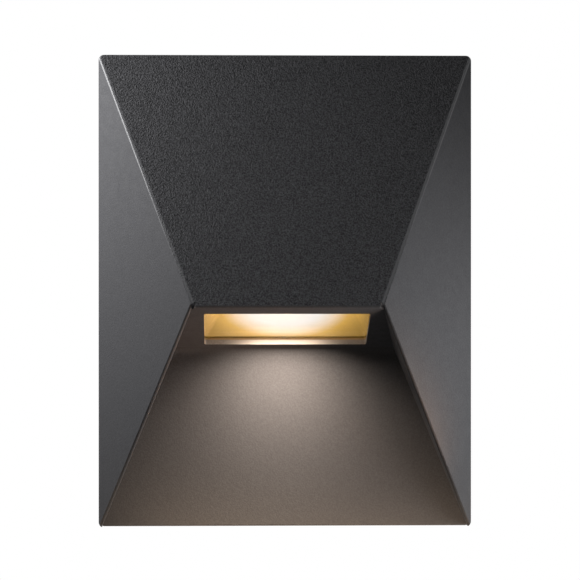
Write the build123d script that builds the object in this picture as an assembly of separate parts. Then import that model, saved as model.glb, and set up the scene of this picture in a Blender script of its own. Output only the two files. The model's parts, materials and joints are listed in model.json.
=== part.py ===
from build123d import *
import math
import os

# A wall light for outdoors. A hipped cast housing hangs on a steel wall plate and throws its
# light through a tilted window in its underside onto its own lower half.
# Millimetres. The wall is the plane y = 0, the light stands out towards -y, x runs to the
# right and z upwards. The origin is the middle of the wall face.

# Housing casting
HOUSING_WIDTH = 150.0
HOUSING_HEIGHT = 190.0
PROJECTION = 50.0
RIM_DEPTH = 10.0
RIDGE_WIDTH = 74.0
RIDGE_DROP = 101.0
UNDERSIDE_DROP = 17.4
RECESS_FLOOR_DEPTH = 5.0
RECESS_EDGE_LAND = 1.2
WALL = 2.0
CORNER_RADIUS = 2.2
EDGE_RADIUS = 0.7
JUNCTION_RADIUS = 4.0
ROUND_FLATNESS = 1.15

# Gasket behind the housing
GASKET_THICKNESS = 2.0
GASKET_INSET = 0.5
GASKET_GAP = 1.0
DRAIN_NOTCH = 8.0

# Wall plate, its fixings and the cable entry
PLATE_THICKNESS = 1.5
PLATE_CORNER = 6.0
BEND_RADIUS = 0.5
RELIEF_WIDTH = 1.5
RELIEF_DEPTH = 3.0
TAB_CORNER = 2.0
SIDE_TAB_WIDTH = 14.0
SIDE_TAB_REACH = 10.0
HANG_TAB_WIDTH = 12.0
HANG_TAB_REACH = 9.0
HANG_TAB_SPACING = 80.0
HANG_GAP = 0.3
SLOT_SPACING = 90.0
SLOT_LENGTH = 12.0
FIXING_HOLE_RADIUS = 2.5
SLOT_EDGE = 14.0
LOWER_HOLE_EDGE = 7.2
LOWER_HOLE_DROP = 45.0
ENTRY_EDGE = 19.0
GROMMET_RADIUS = 8.0
GROMMET_FLANGE = 2.5
GROMMET_FLANGE_THICKNESS = 1.5
CABLE_RADIUS = 3.5
GROMMET_CLEARANCE = 0.1

# Grub screws that hold the housing on the plate
GRUB_RADIUS = 2.0
GRUB_LENGTH = 5.0
GRUB_RECESS = 0.5
GRUB_TIP_GAP = 0.3
GRUB_HEX = 2.0
GRUB_HEX_DEPTH = 2.5
GRUB_HEIGHT = 0.0
GRUB_BOSS_RADIUS = 3.8
THREAD_CLEARANCE = 0.05

# Window and glass
WINDOW_FRONT_MARGIN = 7.5
WINDOW_REAR_MARGIN = 5.5
WINDOW_SIDE_MARGIN = 4.5
WINDOW_CORNER = 1.0
GLASS_LAP = 3.0
GLASS_THICKNESS = 3.0
GLASS_CHAMFER = 0.3
SEAL_THICKNESS = 0.8
SEAL_SETBACK = 0.5

# Reflector, light board and heat spreader
REFLECTOR_HEIGHT = 16.0
REFLECTOR_WALL = 1.2
REFLECTOR_TOP_WIDTH = 44.0
REFLECTOR_TOP_LENGTH = 14.0
REFLECTOR_CORNER = 2.0
FLANGE_THICKNESS = 1.5
EAR_RADIUS = 4.0
EAR_SPACING = 22.0
BOSS_RADIUS = 3.5
BOSS_CLEARANCE = 0.8
BOARD_GAP = 0.3
BOARD_WIDTH = 20.0
BOARD_THICKNESS = 1.6
CHIP_COUNT = 6
CHIP_PITCH = 6.0
CHIP_LENGTH = 3.5
CHIP_WIDTH = 2.8
CHIP_HEIGHT = 0.8
SPREADER_THICKNESS = 3.0
SPREADER_WIDTH = 18.0
PAD_STRIP = 4.0
PAD_PITCH = 6.0
PAD_INSET = 10.0
BOARD_SCREW_INSET = 5.0

# Small screws
M3_RADIUS = 1.45
M3_HEAD_RADIUS = 2.7
M3_HEAD_HEIGHT = 2.0
M25_RADIUS = 1.2
M25_HEAD_RADIUS = 2.2
M25_HEAD_HEIGHT = 1.6
SCREW_BITE = 4.5
SCREW_HOLE_CLEARANCE = 0.2
HOLE_BOTTOM = 0.4

# Electronics bay
BAY_BACK_GAP = 2.5
BAY_FRONT_GAP = 1.0
BAY_SIDE_GAP = 1.0
LUG_RADIUS = 3.5
LUG_THICKNESS = 2.5
CASE_EDGE_RADIUS = 1.0
DRIVER_WIDTH = 42.0
DRIVER_HEIGHT = 30.0
DRIVER_DEPTH = 16.0
DRIVER_WALL = 1.5
DRIVER_LID = 2.0
DRIVER_LIP = 1.0
LIP_CLEARANCE = 0.2
STANDOFF = 1.5
STANDOFF_RADIUS = 1.6
DRIVER_BOARD_CLEARANCE = 0.5
CONNECTOR_WIDTH = 11.0
CONNECTOR_DEPTH = 7.0
CONNECTOR_HEIGHT = 6.0
CONNECTOR_INSET = 1.0
TRANSFORMER_SIZE = 11.0
TRANSFORMER_DEPTH = 7.0
CAPACITOR_RADIUS = 3.0
CAPACITOR_DEPTH = 6.5
POLE_COUNT = 3
POLE_PITCH = 8.5
TERMINAL_HEIGHT = 22.0
TERMINAL_DEPTH = 16.0
TERMINAL_WALL = 1.5
TERMINAL_COVER = 2.0
POCKET_HEIGHT = 12.0
CONTACT_DEPTH = 6.0
CONTACT_CLEARANCE = 0.3
BUTTON_SIZE = 5.0
BUTTON_FLANGE = 0.7
BUTTON_FLANGE_THICKNESS = 1.5
BUTTON_PROUD = 1.4
BUTTON_CLEARANCE = 0.2
SUPPLY_HOLE_RADIUS = 1.8

# Leads and earth point
LEAD_RADIUS = 1.0
LEAD_CLEARANCE = 0.25
LEAD_PITCH = 5.0
LEAD_DROP = 7.0
LEAD_BEND = 4.0
EARTH_DROP = 22.0
EARTH_SHIFT = 6.0
EARTH_BOSS_RADIUS = 4.5
RING_RADIUS = 3.8
RING_THICKNESS = 0.8
BARREL_RADIUS = 1.6
BARREL_LENGTH = 5.0
WASHER_RADIUS = 3.4
WASHER_THICKNESS = 0.6

# Worked out from the sizes above
BEYOND = 20.0
UP = (Align.CENTER, Align.CENTER, Align.MIN)
DOWN = (Align.CENTER, Align.CENTER, Align.MAX)
half_width = HOUSING_WIDTH / 2
half_height = HOUSING_HEIGHT / 2
ridge_z = half_height - RIDGE_DROP
junction_z = ridge_z - UNDERSIDE_DROP
rise = PROJECTION - RIM_DEPTH
side_run = half_width - RIDGE_WIDTH / 2
recess_slope = (side_run - RECESS_EDGE_LAND) / (ridge_z + half_height)
ridge = Vector(0, -PROJECTION, ridge_z)
top_normal = Vector(0, -RIDGE_DROP, rise).normalized()

# The underside runs from the ridge back and down to the recess floor
underside_reach = PROJECTION - RECESS_FLOOR_DEPTH
underside_length = math.hypot(underside_reach, UNDERSIDE_DROP)
along = Vector(0, underside_reach, -UNDERSIDE_DROP).normalized()
inward = Vector(0, -along.Z, along.Y)
window_length = underside_length - WINDOW_FRONT_MARGIN - WINDOW_REAR_MARGIN
window_width = RIDGE_WIDTH - 2 * WINDOW_SIDE_MARGIN
window_centre = ridge + along * (WINDOW_FRONT_MARGIN + window_length / 2)
engine = Plane(origin=window_centre, x_dir=(1, 0, 0), z_dir=inward)

# Levels of the light engine, measured inward from the outer face of the underside
seal_level = WALL
glass_level = seal_level + SEAL_THICKNESS
flange_level = glass_level + GLASS_THICKNESS
board_level = flange_level + REFLECTOR_HEIGHT + BOARD_GAP
spreader_level = board_level + BOARD_THICKNESS
glass_width = window_width + 2 * GLASS_LAP
glass_length = window_length + 2 * GLASS_LAP
boss_u = glass_width / 2 + BOSS_CLEARANCE + BOSS_RADIUS
board_length = 2 * (boss_u - BOSS_RADIUS - BOSS_CLEARANCE)
spreader_v = -BOARD_WIDTH / 2 + PAD_STRIP + SPREADER_WIDTH / 2
board_screw_u = board_length / 2 - BOARD_SCREW_INSET
pad_u = -board_length / 2 + PAD_INSET
pad_v = -BOARD_WIDTH / 2 + PAD_STRIP / 2

# Wall plate
plate_half_width = half_width - GRUB_RECESS - GRUB_LENGTH - GRUB_TIP_GAP
plate_half_height = half_height - GRUB_RECESS - GRUB_LENGTH - GRUB_TIP_GAP
grub_y = -(GASKET_THICKNESS + RIM_DEPTH) / 2
slot_z = plate_half_height - SLOT_EDGE
lower_hole_x = plate_half_width - LOWER_HOLE_EDGE
entry_z = plate_half_height - ENTRY_EDGE


def roof_height(depth):
    """Height of the cavity's sloping roof at a distance from the wall."""
    wall_along_y = WALL * math.hypot(RIDGE_DROP, rise) / RIDGE_DROP
    return half_height - (depth + wall_along_y - RIM_DEPTH) * RIDGE_DROP / rise


def side_reach(depth):
    """Half width of the cavity at a distance from the wall."""
    wall_along_x = WALL * math.hypot(side_run, rise) / rise
    return half_width - wall_along_x - (depth - RIM_DEPTH) * side_run / rise


# Electronics bay: the driver hangs at the left, the terminal block at the right
bay_back = PLATE_THICKNESS + BAY_BACK_GAP
driver_front = bay_back + DRIVER_DEPTH
terminal_front = bay_back + TERMINAL_DEPTH
terminal_width = POLE_COUNT * POLE_PITCH + 2 * TERMINAL_WALL
lug_reach = 2 * LUG_RADIUS
driver_x = -side_reach(driver_front) + BAY_SIDE_GAP + lug_reach + DRIVER_WIDTH / 2
driver_top = roof_height(driver_front + BAY_FRONT_GAP)
driver_bottom = driver_top - DRIVER_HEIGHT
driver_z = driver_top - DRIVER_HEIGHT / 2
terminal_x = side_reach(terminal_front) - BAY_SIDE_GAP - lug_reach - terminal_width / 2
terminal_top = roof_height(terminal_front + BAY_FRONT_GAP)
terminal_bottom = terminal_top - TERMINAL_HEIGHT
terminal_z = terminal_top - TERMINAL_HEIGHT / 2
driver_lug_u = DRIVER_WIDTH / 2 + LUG_RADIUS
terminal_lug_u = terminal_width / 2 + LUG_RADIUS
driver_board_y = -driver_front + DRIVER_WALL + STANDOFF + BOARD_THICKNESS
lead_y = driver_board_y + CONNECTOR_DEPTH / 2
connector_bottom = driver_bottom + DRIVER_WALL + DRIVER_BOARD_CLEARANCE + CONNECTOR_INSET
mains_x = driver_x + DRIVER_WIDTH / 2 - DRIVER_WALL - CONNECTOR_INSET - CONNECTOR_WIDTH / 2
output_x = driver_x - DRIVER_WIDTH / 2 + DRIVER_WALL + CONNECTOR_INSET + CONNECTOR_WIDTH / 2
contact_bottom = terminal_z - POCKET_HEIGHT / 2 + CONTACT_CLEARANCE
poles = [terminal_x + (i - (POLE_COUNT - 1) / 2) * POLE_PITCH for i in range(POLE_COUNT)]
button_y = -bay_back - TERMINAL_COVER
pocket_y = -terminal_front + TERMINAL_WALL

# Earth point on its own boss below the terminal block
earth_x = poles[-1] + EARTH_SHIFT
earth_y = lead_y - BARREL_RADIUS
earth_z = terminal_bottom - EARTH_DROP
barrel_z = earth_z + RING_RADIUS


def block(x, y, z):
    """A box between low and high limits along each axis."""
    middle = Pos((x[0] + x[1]) / 2, (y[0] + y[1]) / 2, (z[0] + z[1]) / 2)
    return middle * Box(x[1] - x[0], y[1] - y[0], z[1] - z[0])


def rod(radius, start, end):
    """A round bar between two points."""
    axis = Vector(end) - Vector(start)
    return Plane(origin=start, z_dir=axis).location * Cylinder(radius, axis.length, align=UP)


def in_engine(form):
    """Places a form drawn on the window's own plane."""
    return engine.location * form


def plate(width, length, corner, low, high):
    """A rounded rectangle on the window's plane, between two levels."""
    return Pos(0, 0, low) * extrude(RectangleRounded(width, length, corner), high - low)


def screw(radius, head_radius, head_height, length):
    """A cross-head screw, its head seated on z = 0 and its shank running down."""
    head = Cylinder(head_radius, head_height, align=UP)
    head = fillet(head.edges().sort_by(Axis.Z)[-1:], head_height / 2)
    form = head + Cylinder(radius, length, align=DOWN)
    for turn in (0, 90):
        cross = Box(head_radius, head_radius / 4, head_height / 2, align=DOWN)
        form -= Pos(0, 0, head_height) * Rot(0, 0, turn) * cross
    return form


def m3_screw(grip):
    """An M3 screw that clamps a thickness and bites into its boss."""
    return screw(M3_RADIUS, M3_HEAD_RADIUS, M3_HEAD_HEIGHT, grip + SCREW_BITE)


def lead_pair(middle):
    """Places of two leads side by side."""
    return (middle - LEAD_PITCH / 2, middle + LEAD_PITCH / 2)


def facing_wall(x, y, z, form):
    """Places a form drawn upright so that its top looks at the wall."""
    return Plane(origin=(x, y, z), x_dir=(1, 0, 0), z_dir=(0, 1, 0)).location * form


# Where screws go
reflector_points = [(u, v) for u in (-boss_u, boss_u) for v in (-EAR_SPACING / 2, EAR_SPACING / 2)]
spreader_points = [(u, spreader_v) for u in (-boss_u, boss_u)]
driver_lugs = [driver_x - driver_lug_u, driver_x + driver_lug_u]
terminal_lugs = [terminal_x - terminal_lug_u, terminal_x + terminal_lug_u]

# Where the housing hangs on the wall plate
hang_points = (-HANG_TAB_SPACING / 2, HANG_TAB_SPACING / 2)


def side_normal(side):
    """Outward normal of a triangular side face."""
    return Vector(side * rise, -side_run, 0).normalized()


def hip_form(inset, back):
    """The housing's solid form, drawn in by an inset and cut off at the back."""
    depth = PROJECTION + BEYOND
    form = block(
        (inset - half_width, half_width - inset),
        (-depth, back),
        (inset - half_height, half_height - inset),
    )
    faces = [(ridge, top_normal)]
    for side in (-1, 1):
        faces.append((ridge + Vector(side * RIDGE_WIDTH / 2, 0, 0), side_normal(side)))
    for point, normal in faces:
        cut = Plane(origin=point - normal * inset, z_dir=normal)
        form = split(form, bisect_by=cut, keep=Keep.BOTTOM)
    return form


def recess(growth):
    """The open space under the ridge, grown outwards by a wall."""
    floor_y = -RECESS_FLOOR_DEPTH + growth
    start = Vector(0, -RECESS_FLOOR_DEPTH, junction_z) + inward * growth
    corner = start + along * ((floor_y - start.Y) / along.Y)
    far = corner - along * (PROJECTION + 2 * BEYOND)
    low = -half_height - BEYOND
    with BuildSketch(Plane.YZ) as profile:
        with BuildLine():
            Polyline((corner.Y, corner.Z), (far.Y, far.Z), (far.Y, low), (floor_y, low), close=True)
        make_face()
        junction = profile.vertices().sort_by_distance((corner.Y, corner.Z))[0]
        fillet(junction, JUNCTION_RADIUS + growth)
    spread = growth * math.hypot(1, recess_slope)
    high = ridge_z + BEYOND
    half_high = RIDGE_WIDTH / 2 - BEYOND * recess_slope + spread
    half_low = RIDGE_WIDTH / 2 + (ridge_z - low) * recess_slope + spread
    with BuildSketch(Plane.XZ) as front:
        with BuildLine():
            Polyline((-half_high, high), (half_high, high), (half_low, low), (-half_low, low), close=True)
        make_face()
    hollow = extrude(profile.sketch, HOUSING_WIDTH, both=True)
    return hollow & extrude(front.sketch, PROJECTION + 2 * BEYOND, both=True)


def edges_along(form, start, end):
    """The long edges of a form that lie on a line."""
    start = Vector(start)
    run = Vector(end) - start
    direction = run.normalized()
    found = []
    for edge in form.edges():
        offsets = [edge @ 0 - start, edge @ 1 - start]
        strays = [(gap - direction * gap.dot(direction)).length for gap in offsets]
        if edge.length > run.length / 2 and max(strays) < EDGE_RADIUS:
            found.append(edge)
    return found


def edge_shaving(start, end, normal_a, normal_b):
    """What is taken off to round the edge between two faces with these outward normals."""
    across = normal_a.dot(normal_b)
    along_a = (normal_a * across - normal_b).normalized()
    along_b = (normal_b * across - normal_a).normalized()
    inner = (along_a + along_b).normalized()
    half_angle = math.acos(inner.dot(along_a))
    tangent = EDGE_RADIUS / math.tan(half_angle)
    sink = EDGE_RADIUS / math.sin(half_angle) - EDGE_RADIUS
    direction = (end - start).normalized()
    corner = start - direction * BEYOND
    on_a = corner + along_a * tangent
    on_b = corner + along_b * tangent
    clear_a = on_a + normal_a * EDGE_RADIUS
    clear_b = on_b + normal_b * EDGE_RADIUS
    outline = [Line(on_a, clear_a), Line(clear_a, corner - inner * 3 * EDGE_RADIUS)]
    outline += [Line(corner - inner * 3 * EDGE_RADIUS, clear_b), Line(clear_b, on_b)]
    outline += [ThreePointArc(on_b, corner + inner * sink * ROUND_FLATNESS, on_a)]
    return extrude(make_face(outline), (end - start).length + 2 * BEYOND, dir=direction)


def rounded_form():
    """The outside of the casting with its corners and edges rounded."""
    form = hip_form(0, -GASKET_THICKNESS)
    corners = [
        edge
        for edge in form.edges().filter_by(Axis.Y)
        if abs(abs(edge.center().X) - half_width) < EDGE_RADIUS
    ]
    form = fillet(corners, CORNER_RADIUS)
    lines = [((-half_width, -RIM_DEPTH, half_height), (half_width, -RIM_DEPTH, half_height))]
    for side in (-1, 1):
        shoulder = Vector(side * half_width, -RIM_DEPTH, half_height)
        lines.append((shoulder, (side * half_width, -RIM_DEPTH, -half_height)))
        lines.append((shoulder, ridge + Vector(side * RIDGE_WIDTH / 2, 0, 0)))
    edges = [edge for start, end in lines for edge in edges_along(form, start, end)]
    form = fillet(edges, EDGE_RADIUS) - recess(0)
    ridge_end = Vector(RIDGE_WIDTH / 2, 0, 0)
    form -= edge_shaving(ridge - ridge_end, ridge + ridge_end, top_normal, inward * -1)
    foot_x = half_width - RECESS_EDGE_LAND
    foot_depth = RIM_DEPTH + RECESS_EDGE_LAND * rise / side_run
    for side in (-1, 1):
        foot = Vector(side * foot_x, -foot_depth, -half_height)
        wall_normal = Vector(-side, 0, -recess_slope).normalized()
        form -= edge_shaving(foot, ridge + ridge_end * side, side_normal(side), wall_normal)
    toe = Vector(foot_x, -RECESS_FLOOR_DEPTH, -half_height)
    form -= edge_shaving(Vector(-toe.X, toe.Y, toe.Z), toe, Vector(0, -1, 0), Vector(0, 0, -1))
    return form


def engine_post(u, v, level):
    """A post from the casting up to a level of the light engine, with its pilot hole."""
    post = in_engine(rod(BOSS_RADIUS, (u, v, -UNDERSIDE_DROP), (u, v, level)))
    hole = rod(M3_RADIUS + THREAD_CLEARANCE, (u, v, level), (u, v, level - SCREW_BITE - HOLE_BOTTOM))
    return post, in_engine(hole)


def bay_boss(x, z, radius, depth):
    """A boss from the roof of the casting towards the wall, with its pilot hole."""
    post = rod(radius, (x, -PROJECTION, z), (x, -depth, z))
    bottom = depth + SCREW_BITE + HOLE_BOTTOM
    return post, rod(M3_RADIUS + THREAD_CLEARANCE, (x, -depth, z), (x, -bottom, z))


def grub_boss(side):
    """A boss inside the rim for a grub screw, with its threaded hole."""
    inner = side * (plate_half_width + 2 * GRUB_TIP_GAP)
    post = rod(GRUB_BOSS_RADIUS, (side * half_width, grub_y, GRUB_HEIGHT), (inner, grub_y, GRUB_HEIGHT))
    outside = side * (half_width + BEYOND)
    hole = rod(
        GRUB_RADIUS + THREAD_CLEARANCE,
        (outside, grub_y, GRUB_HEIGHT),
        (side * plate_half_width, grub_y, GRUB_HEIGHT),
    )
    return post, hole


def hang_ledge(middle):
    """A ledge under the rim's top that rests on a tab of the wall plate."""
    return block(
        (middle - HANG_TAB_WIDTH / 2, middle + HANG_TAB_WIDTH / 2),
        (-HANG_TAB_REACH, -GASKET_THICKNESS),
        (plate_half_height + HANG_GAP, half_height),
    )


def housing():
    """The casting: shell, bosses, window and threaded holes."""
    shell = rounded_form() - (hip_form(WALL, BEYOND) - recess(WALL))
    pairs = [engine_post(u, v, flange_level) for u, v in reflector_points]
    pairs += [engine_post(u, v, spreader_level) for u, v in spreader_points]
    pairs += [bay_boss(x, driver_z, LUG_RADIUS, driver_front) for x in driver_lugs]
    pairs += [bay_boss(x, terminal_z, LUG_RADIUS, terminal_front) for x in terminal_lugs]
    pairs += [bay_boss(earth_x, earth_z, EARTH_BOSS_RADIUS, -earth_y)]
    pairs += [grub_boss(side) for side in (-1, 1)]
    posts = [post for post, hole in pairs] + [hang_ledge(x) for x in hang_points]
    inside = hip_form(WALL / 2, -GASKET_THICKNESS) - recess(WALL / 2)
    for post in posts:
        shell += post & inside
    for post, hole in pairs:
        shell -= hole
    window = plate(window_width, window_length, WINDOW_CORNER, -WALL, glass_level)
    return shell - in_engine(window)


def rear_gasket():
    """A soft ring on the housing's back edge, open at the bottom so that water drains."""
    width = HOUSING_WIDTH - 2 * GASKET_INSET
    height = HOUSING_HEIGHT - 2 * GASKET_INSET
    inner_width = 2 * (plate_half_width + GASKET_GAP)
    inner_height = 2 * (plate_half_height + GASKET_GAP)
    with BuildSketch(Plane.XZ) as ring:
        RectangleRounded(width, height, CORNER_RADIUS)
        RectangleRounded(inner_width, inner_height, PLATE_CORNER + GASKET_GAP, mode=Mode.SUBTRACT)
        with Locations((0, -half_height)):
            Rectangle(DRAIN_NOTCH, HOUSING_HEIGHT / 2, mode=Mode.SUBTRACT)
    return extrude(ring.sketch, GASKET_THICKNESS)


def bent_tab(width, reach):
    """A tab bent up from the plate's top edge, with its foot hanging below z = 0."""
    outline = Polyline(
        (0, 0),
        (reach, 0),
        (reach, -PLATE_THICKNESS),
        (PLATE_THICKNESS, -PLATE_THICKNESS),
        (PLATE_THICKNESS, -RELIEF_DEPTH),
        (0, -RELIEF_DEPTH),
        close=True,
    )
    section = make_face(outline)
    outer = section.vertices().sort_by_distance((0, 0))[0]
    section = fillet(outer, BEND_RADIUS + PLATE_THICKNESS)
    inner = section.vertices().sort_by_distance((PLATE_THICKNESS, -PLATE_THICKNESS))[0]
    section = fillet(inner, BEND_RADIUS)
    upright = Plane(origin=(0, 0, 0), x_dir=(0, -1, 0), z_dir=(-1, 0, 0))
    form = extrude(upright * section, width / 2, both=True)
    return fillet(form.edges().filter_by(Axis.Z).group_by(Axis.Y)[0], TAB_CORNER)


def wall_plate():
    """The steel plate on the wall, with bent side tabs and hang tabs."""
    tabs = [(Pos(x, 0, plate_half_height), HANG_TAB_WIDTH, HANG_TAB_REACH) for x in hang_points]
    for side in (-1, 1):
        place = Pos(side * plate_half_width, 0, GRUB_HEIGHT) * Rot(0, 90 * side, 0)
        tabs.append((place, SIDE_TAB_WIDTH, SIDE_TAB_REACH))
    with BuildSketch(Plane.XZ) as blank:
        RectangleRounded(2 * plate_half_width, 2 * plate_half_height, PLATE_CORNER)
        with Locations((-SLOT_SPACING / 2, slot_z), (SLOT_SPACING / 2, slot_z)):
            SlotOverall(SLOT_LENGTH, 2 * FIXING_HOLE_RADIUS, mode=Mode.SUBTRACT)
        with Locations((-lower_hole_x, -LOWER_HOLE_DROP), (lower_hole_x, -LOWER_HOLE_DROP)):
            Circle(FIXING_HOLE_RADIUS, mode=Mode.SUBTRACT)
        with Locations((0, entry_z)):
            Circle(GROMMET_RADIUS, mode=Mode.SUBTRACT)
    form = extrude(blank.sketch, PLATE_THICKNESS)
    for place, width, reach in tabs:
        form -= place * Box(width + 2 * RELIEF_WIDTH, 4 * PLATE_THICKNESS, 2 * RELIEF_DEPTH)
        form += place * bent_tab(width, reach)
    return form


def cable_grommet():
    """The rubber bush around the supply cable."""
    front = PLATE_THICKNESS + GROMMET_FLANGE_THICKNESS
    form = rod(GROMMET_RADIUS - GROMMET_CLEARANCE, (0, 0, entry_z), (0, -front, entry_z))
    form += rod(GROMMET_RADIUS + GROMMET_FLANGE, (0, -PLATE_THICKNESS, entry_z), (0, -front, entry_z))
    form = fillet(form.edges().sort_by(Axis.Y)[0], GROMMET_FLANGE_THICKNESS / 2)
    return form - rod(CABLE_RADIUS, (0, BEYOND, entry_z), (0, -BEYOND, entry_z))


def fixing_screw(side):
    """A grub screw with a hexagon socket, from the rim's side to the plate's tab."""
    outer = side * (half_width - GRUB_RECESS)
    seat = Plane(origin=(outer, grub_y, GRUB_HEIGHT), z_dir=(side, 0, 0))
    form = Cylinder(GRUB_RADIUS, GRUB_LENGTH, align=DOWN)
    socket = extrude(RegularPolygon(GRUB_HEX / 2, 6, major_radius=False), -GRUB_HEX_DEPTH)
    return seat.location * (form - socket)


def glass_seal():
    """The flat ring that the glass is bedded on."""
    opening = plate(
        window_width + 2 * SEAL_SETBACK,
        window_length + 2 * SEAL_SETBACK,
        WINDOW_CORNER + SEAL_SETBACK,
        seal_level - WALL,
        flange_level,
    )
    ring = plate(glass_width, glass_length, WINDOW_CORNER + GLASS_LAP, seal_level, glass_level)
    return in_engine(ring - opening)


def window_glass():
    """The pane behind the window."""
    pane = plate(glass_width, glass_length, WINDOW_CORNER + GLASS_LAP, glass_level, flange_level)
    faces = pane.faces().sort_by(Axis.Z)
    return in_engine(chamfer(faces[0].edges() + faces[-1].edges(), GLASS_CHAMFER))


def funnel(growth):
    """The reflector's tapering form between the pane and the light board, grown by a wall."""
    wide = RectangleRounded(
        window_width + 2 * (SEAL_SETBACK + growth),
        window_length + 2 * (SEAL_SETBACK + growth),
        REFLECTOR_CORNER + growth,
    )
    narrow = RectangleRounded(
        REFLECTOR_TOP_WIDTH + 2 * growth,
        REFLECTOR_TOP_LENGTH + 2 * growth,
        REFLECTOR_CORNER + growth,
    )
    return Pos(0, 0, flange_level) * loft([wide, Pos(0, 0, REFLECTOR_HEIGHT) * narrow])


def reflector():
    """The reflector with its flange on the pane and an ear at each boss."""
    top = flange_level + FLANGE_THICKNESS
    form = plate(glass_width, glass_length, WINDOW_CORNER + GLASS_LAP, flange_level, top)
    for u, v in reflector_points:
        ends = sorted((u, math.copysign(glass_width / 2 - EAR_RADIUS, u)))
        form += block(ends, (v - EAR_RADIUS, v + EAR_RADIUS), (flange_level, top))
        form += rod(EAR_RADIUS, (u, v, flange_level), (u, v, top))
    form += funnel(REFLECTOR_WALL)
    form -= funnel(0)
    for u, v in reflector_points:
        form -= rod(M3_RADIUS + SCREW_HOLE_CLEARANCE, (u, v, 0), (u, v, board_level))
    return in_engine(form)


def reflector_screws():
    """One screw through each ear of the reflector."""
    level = flange_level + FLANGE_THICKNESS
    return Compound(
        children=[in_engine(Pos(u, v, level) * m3_screw(FLANGE_THICKNESS)) for u, v in reflector_points]
    )


def led_board():
    """The light board, chips facing down into the reflector."""
    form = plate(board_length, BOARD_WIDTH, REFLECTOR_CORNER, board_level, spreader_level)
    for u in (-board_screw_u, board_screw_u):
        form -= rod(M25_RADIUS + SCREW_HOLE_CLEARANCE, (u, 0, 0), (u, 0, spreader_level))
    return in_engine(form)


def led_chips():
    """A row of light-emitting chips under the board."""
    chips = []
    for i in range(CHIP_COUNT):
        u = (i - (CHIP_COUNT - 1) / 2) * CHIP_PITCH
        chip = Box(CHIP_LENGTH, CHIP_WIDTH, CHIP_HEIGHT, align=DOWN)
        chips.append(in_engine(Pos(u, 0, board_level) * chip))
    return Compound(children=chips)


def heat_spreader():
    """The aluminium bar that carries the light board between two posts."""
    top = spreader_level + SPREADER_THICKNESS
    low = spreader_v - SPREADER_WIDTH / 2
    form = block((-board_length / 2, board_length / 2), (low, low + SPREADER_WIDTH), (spreader_level, top))
    form += block(
        (-boss_u, boss_u), (spreader_v - EAR_RADIUS, spreader_v + EAR_RADIUS), (spreader_level, top)
    )
    for u, v in spreader_points:
        form += rod(EAR_RADIUS, (u, v, spreader_level), (u, v, top))
        form -= rod(M3_RADIUS + SCREW_HOLE_CLEARANCE, (u, v, 0), (u, v, top))
    for u in (-board_screw_u, board_screw_u):
        form -= rod(M25_RADIUS + THREAD_CLEARANCE, (u, 0, 0), (u, 0, top))
    return in_engine(form)


def spreader_screws():
    """One screw at each end of the heat spreader."""
    level = spreader_level + SPREADER_THICKNESS
    return Compound(
        children=[in_engine(Pos(u, v, level) * m3_screw(SPREADER_THICKNESS)) for u, v in spreader_points]
    )


def led_board_screws():
    """Two screws that clamp the light board up against the heat spreader."""
    length = BOARD_THICKNESS + SPREADER_THICKNESS
    form = Rot(180, 0, 0) * screw(M25_RADIUS, M25_HEAD_RADIUS, M25_HEAD_HEIGHT, length)
    return Compound(
        children=[in_engine(Pos(u, 0, board_level) * form) for u in (-board_screw_u, board_screw_u)]
    )


def case(x, y, z):
    """A moulded case's outside, its long edges rounded."""
    form = block(x, y, z)
    return fillet(form.edges().filter_by(Axis.Y), CASE_EDGE_RADIUS)


def case_lid(x, y, z):
    """A moulded lid, rounded on the face that looks at the wall too."""
    form = case(x, y, z)
    return fillet(form.faces().sort_by(Axis.Y)[-1].edges(), CASE_EDGE_RADIUS / 2)


def lug(x, inner, z, front):
    """A screw lug from the side of a case, with its hole."""
    rear = LUG_THICKNESS - front
    form = rod(LUG_RADIUS, (x, -front, z), (x, rear, z))
    form += block(sorted((x, inner)), (-front, rear), (z - LUG_RADIUS, z + LUG_RADIUS))
    return form - rod(M3_RADIUS + SCREW_HOLE_CLEARANCE, (x, -front, z), (x, rear, z))


def driver_base():
    """The driver's case, open towards the wall."""
    low = driver_x - DRIVER_WIDTH / 2
    high = driver_x + DRIVER_WIDTH / 2
    rear = -bay_back - DRIVER_LID
    form = case((low, high), (-driver_front, rear), (driver_bottom, driver_top))
    form -= block(
        (low + DRIVER_WALL, high - DRIVER_WALL),
        (-driver_front + DRIVER_WALL, 0),
        (driver_bottom + DRIVER_WALL, driver_top - DRIVER_WALL),
    )
    inset = DRIVER_WALL + DRIVER_BOARD_CLEARANCE + STANDOFF_RADIUS
    for x in (low + inset, high - inset):
        for z in (driver_bottom + inset, driver_top - inset):
            start = (x, -driver_front, z)
            form += rod(STANDOFF_RADIUS, start, (x, -driver_front + DRIVER_WALL + STANDOFF, z))
    for x, side in zip(driver_lugs, (low, high)):
        form += lug(x, side, driver_z, driver_front)
    for x in (*lead_pair(mains_x), *lead_pair(output_x)):
        hole = (x, lead_y, driver_bottom - DRIVER_WALL)
        form -= rod(LEAD_RADIUS + LEAD_CLEARANCE, hole, (x, lead_y, connector_bottom))
    return form


def driver_lid():
    """The driver's lid, with a lip inside the case."""
    low = driver_x - DRIVER_WIDTH / 2
    high = driver_x + DRIVER_WIDTH / 2
    rear = -bay_back - DRIVER_LID
    form = case_lid((low, high), (rear, -bay_back), (driver_bottom, driver_top))
    edge = DRIVER_WALL + LIP_CLEARANCE
    form += block(
        (low + edge, high - edge), (rear - DRIVER_LIP, rear), (driver_bottom + edge, driver_top - edge)
    )
    return form


def driver_board():
    """The circuit board inside the driver."""
    edge = DRIVER_WALL + DRIVER_BOARD_CLEARANCE
    half = DRIVER_WIDTH / 2 - edge
    return block(
        (driver_x - half, driver_x + half),
        (driver_board_y - BOARD_THICKNESS, driver_board_y),
        (driver_bottom + edge, driver_top - edge),
    )


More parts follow.
